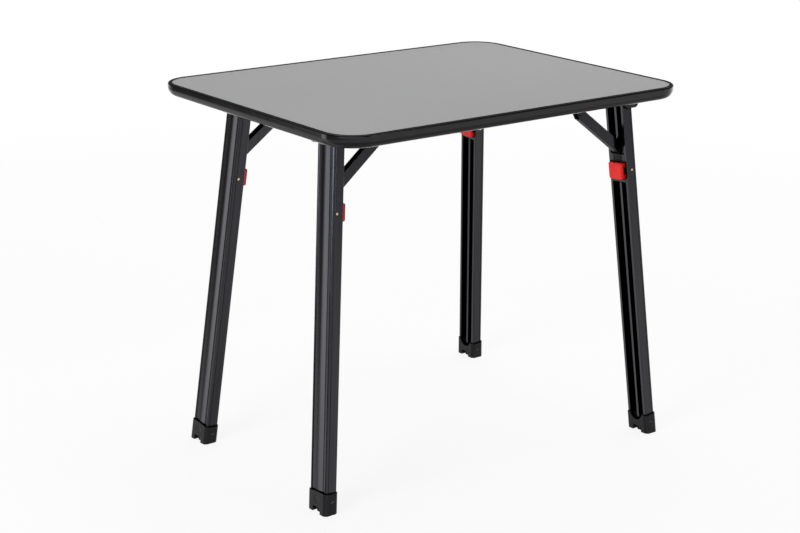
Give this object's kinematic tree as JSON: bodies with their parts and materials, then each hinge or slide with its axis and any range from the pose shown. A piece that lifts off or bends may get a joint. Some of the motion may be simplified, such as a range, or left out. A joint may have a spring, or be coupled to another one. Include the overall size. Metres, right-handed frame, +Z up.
{
  "type": "camper table",
  "caption": "Folding camper table with a grey top in a black edge rim, splayed channel legs, sliding carriages with red lock buttons, braces and moulded feet",
  "frame": {"origin": "middle of the open table's bounding box on the floor", "axes": "X along the table's length, Y across it, Z up; front is -Y, left is -X"},
  "size_m": [0.8, 0.6, 0.7],
  "materials": {
    "panel_laminate": "fine-grained grey laminate on a light wooden board",
    "rim_black": "semi-gloss black moulding",
    "leg_metal": "dark anodised, satin",
    "bracket_black": "fine-textured moulding",
    "foot_black": "fine-textured moulding",
    "carriage_black": "smooth moulding",
    "button_red": "semi-gloss moulding",
    "steel": "zinc plated",
    "spring_bronze": "rolled strip"
  },
  "bodies": {
    "top": {"tabletop_panel": "panel_laminate", "edge_rim": "rim_black", "bracket_screws": "steel", "hinge_bracket_front_left": "bracket_black", "hinge_pin_front_left": "steel", "strut_bracket_front_left": "bracket_black", "hinge_bracket_front_right": "bracket_black", "hinge_pin_front_right": "steel", "strut_bracket_front_right": "bracket_black", "hinge_bracket_back_left": "bracket_black", "hinge_pin_back_left": "steel", "strut_bracket_back_left": "bracket_black", "hinge_bracket_back_right": "bracket_black", "hinge_pin_back_right": "steel", "strut_bracket_back_right": "bracket_black"},
    "leg_front_left": {"leg_front_left": "leg_metal", "foot_front_left": "foot_black", "foot_screw_front_left": "steel"},
    "slider_front_left": {"slider_front_left": "carriage_black", "slider_pins_front_left": "steel", "lock_clip_front_left": "spring_bronze"},
    "strut_front_left": {"strut_front_left": "leg_metal", "strut_pins_front_left": "steel"},
    "button_front_left": {"button_front_left": "button_red"},
    "adjuster_front_left": {"foot_adjuster_front_left": "carriage_black"},
    "leg_front_right": {"leg_front_right": "leg_metal", "foot_front_right": "foot_black", "foot_screw_front_right": "steel"},
    "slider_front_right": {"slider_front_right": "carriage_black", "slider_pins_front_right": "steel", "lock_clip_front_right": "spring_bronze"},
    "strut_front_right": {"strut_front_right": "leg_metal", "strut_pins_front_right": "steel"},
    "button_front_right": {"button_front_right": "button_red"},
    "adjuster_front_right": {"foot_adjuster_front_right": "carriage_black"},
    "leg_back_left": {"leg_back_left": "leg_metal", "foot_back_left": "foot_black", "foot_screw_back_left": "steel"},
    "slider_back_left": {"slider_back_left": "carriage_black", "slider_pins_back_left": "steel", "lock_clip_back_left": "spring_bronze"},
    "strut_back_left": {"strut_back_left": "leg_metal", "strut_pins_back_left": "steel"},
    "button_back_left": {"button_back_left": "button_red"},
    "adjuster_back_left": {"foot_adjuster_back_left": "carriage_black"},
    "leg_back_right": {"leg_back_right": "leg_metal", "foot_back_right": "foot_black", "foot_screw_back_right": "steel"},
    "slider_back_right": {"slider_back_right": "carriage_black", "slider_pins_back_right": "steel", "lock_clip_back_right": "spring_bronze"},
    "strut_back_right": {"strut_back_right": "leg_metal", "strut_pins_back_right": "steel"},
    "button_back_right": {"button_back_right": "button_red"},
    "adjuster_back_right": {"foot_adjuster_back_right": "carriage_black"}
  },
  "joints": [
    {"name": "fold_front_left", "type": "hinge", "parent": "top", "child": "leg_front_left", "pos_m": [-0.3138, -0.1452, 0.66], "axis": [0, -0.9964, 0.0845], "range_deg": [0, 95]},
    {"name": "slide_front_left", "type": "slide", "parent": "leg_front_left", "child": "slider_front_left", "axis": [-0.0872, -0.0842, -0.9926], "range_m": [0, 0.1636]},
    {"name": "strut_turn_front_left", "type": "hinge", "parent": "slider_front_left", "child": "strut_front_left", "pos_m": [-0.32156, -0.1527, 0.57166], "axis": [0, -0.9964, 0.0845], "range_deg": [0, 47.6]},
    {"name": "button_press_front_left", "type": "slide", "parent": "slider_front_left", "child": "button_front_left", "axis": [-0.9962, 0.0074, 0.0868], "range_m": [0, 0.0028], "stiffness_N_per_m": 1500, "deforming": ["lock_clip_front_left"]},
    {"name": "adjuster_turn_front_left", "type": "hinge", "parent": "leg_front_left", "child": "adjuster_front_left", "pos_m": [-0.37175, -0.2012, 0.004], "axis": [0, 0, 1], "range_deg": [0, 360]},
    {"name": "fold_front_right", "type": "hinge", "parent": "top", "child": "leg_front_right", "pos_m": [0.3068, -0.2126, 0.66], "axis": [0, 0.9964, -0.0845], "range_deg": [0, 95]},
    {"name": "slide_front_right", "type": "slide", "parent": "leg_front_right", "child": "slider_front_right", "axis": [0.0872, -0.0842, -0.9926], "range_m": [0, 0.1636]},
    {"name": "strut_turn_front_right", "type": "hinge", "parent": "slider_front_right", "child": "strut_front_right", "pos_m": [0.31456, -0.2201, 0.57166], "axis": [0, 0.9964, -0.0845], "range_deg": [0, 47.6]},
    {"name": "button_press_front_right", "type": "slide", "parent": "slider_front_right", "child": "button_front_right", "axis": [0.9962, 0.0074, 0.0868], "range_m": [0, 0.0028], "stiffness_N_per_m": 1500, "deforming": ["lock_clip_front_right"]},
    {"name": "adjuster_turn_front_right", "type": "hinge", "parent": "leg_front_right", "child": "adjuster_front_right", "pos_m": [0.36475, -0.2686, 0.004], "axis": [0, 0, 1], "range_deg": [0, 360]},
    {"name": "fold_back_left", "type": "hinge", "parent": "top", "child": "leg_back_left", "pos_m": [-0.3138, 0.1452, 0.66], "axis": [0, -0.9964, -0.0845], "range_deg": [0, 95]},
    {"name": "slide_back_left", "type": "slide", "parent": "leg_back_left", "child": "slider_back_left", "axis": [-0.0872, 0.0842, -0.9926], "range_m": [0, 0.1636]},
    {"name": "strut_turn_back_left", "type": "hinge", "parent": "slider_back_left", "child": "strut_back_left", "pos_m": [-0.32156, 0.1527, 0.57166], "axis": [0, -0.9964, -0.0845], "range_deg": [0, 47.6]},
    {"name": "button_press_back_left", "type": "slide", "parent": "slider_back_left", "child": "button_back_left", "axis": [-0.9962, -0.0074, 0.0868], "range_m": [0, 0.0028], "stiffness_N_per_m": 1500, "deforming": ["lock_clip_back_left"]},
    {"name": "adjuster_turn_back_left", "type": "hinge", "parent": "leg_back_left", "child": "adjuster_back_left", "pos_m": [-0.37175, 0.2012, 0.004], "axis": [0, 0, 1], "range_deg": [0, 360]},
    {"name": "fold_back_right", "type": "hinge", "parent": "top", "child": "leg_back_right", "pos_m": [0.3068, 0.2126, 0.66], "axis": [0, 0.9964, 0.0845], "range_deg": [0, 95]},
    {"name": "slide_back_right", "type": "slide", "parent": "leg_back_right", "child": "slider_back_right", "axis": [0.0872, 0.0842, -0.9926], "range_m": [0, 0.1636]},
    {"name": "strut_turn_back_right", "type": "hinge", "parent": "slider_back_right", "child": "strut_back_right", "pos_m": [0.31456, 0.2201, 0.57166], "axis": [0, 0.9964, 0.0845], "range_deg": [0, 47.6]},
    {"name": "button_press_back_right", "type": "slide", "parent": "slider_back_right", "child": "button_back_right", "axis": [0.9962, -0.0074, 0.0868], "range_m": [0, 0.0028], "stiffness_N_per_m": 1500, "deforming": ["lock_clip_back_right"]},
    {"name": "adjuster_turn_back_right", "type": "hinge", "parent": "leg_back_right", "child": "adjuster_back_right", "pos_m": [0.36475, 0.2686, 0.004], "axis": [0, 0, 1], "range_deg": [0, 360]}
  ],
  "couplings": [
    {"joint": "slide_front_left", "follows": "fold_front_left", "m_per_rad": 0.098318},
    {"joint": "strut_turn_front_left", "follows": "fold_front_left", "ratio": 0.498},
    {"joint": "slide_front_right", "follows": "fold_front_right", "m_per_rad": 0.098318},
    {"joint": "strut_turn_front_right", "follows": "fold_front_right", "ratio": 0.498},
    {"joint": "slide_back_left", "follows": "fold_back_left", "m_per_rad": 0.098318},
    {"joint": "strut_turn_back_left", "follows": "fold_back_left", "ratio": 0.498},
    {"joint": "slide_back_right", "follows": "fold_back_right", "m_per_rad": 0.098318},
    {"joint": "strut_turn_back_right", "follows": "fold_back_right", "ratio": 0.498}
  ]
}
